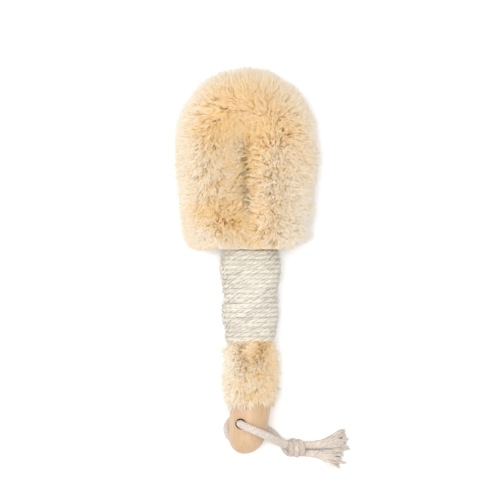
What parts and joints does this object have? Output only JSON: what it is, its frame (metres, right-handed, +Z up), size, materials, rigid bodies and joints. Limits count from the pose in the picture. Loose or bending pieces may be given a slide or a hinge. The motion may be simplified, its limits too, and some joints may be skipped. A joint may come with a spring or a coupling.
{
  "type": "body dry brush",
  "caption": "Dry body brush: a hairpin roll of sisal bristle on twisted wire, bound with twine to a round-ended wooden handle with a knotted hanging cord.",
  "frame": {"origin": "on the table that the brush lies on, under the middle of the brush's bounding box without its cord", "axes": "+Y along the brush, from the handle to the bristle head; +X across it, towards the side where the cord lies; +Z up from the table"},
  "size_m": [0.1103, 0.25, 0.0401],
  "materials": {
    "beech": "satin, finely sanded light beech",
    "sisal_bristle": "matte natural sisal fibre, pale at the tips and golden at the roots",
    "sisal_twine": "matte bleached sisal twine",
    "steel": "galvanised wire",
    "cotton_cord": "matte undyed braided cotton"
  },
  "bodies": {
    "brush": {"handle": "beech", "spine_wire_a": "steel", "spine_wire_b": "steel", "staple_left": "steel", "staple_right": "steel", "head_bristles_left": "sisal_bristle", "head_bristles_right": "sisal_bristle", "head_bristles_crown": "sisal_bristle", "neck_bristles_left": "sisal_bristle", "neck_bristles_right": "sisal_bristle", "collar_bristles_left": "sisal_bristle", "collar_bristles_right": "sisal_bristle", "sisal_binding": "sisal_twine"},
    "hang_loop": {"hang_cord_front_strand": "cotton_cord", "hang_cord_back_strand": "cotton_cord", "hang_cord_knot": "cotton_cord", "hang_cord_upper_tail": "cotton_cord", "hang_cord_lower_tail": "cotton_cord"}
  },
  "joints": [
    {"name": "loop_swing", "type": "hinge", "parent": "brush", "child": "hang_loop", "pos_m": [-0.0045, -0.1012, 0.0183], "axis": [0, 0, 1], "range_deg": [-105, 40]}
  ]
}
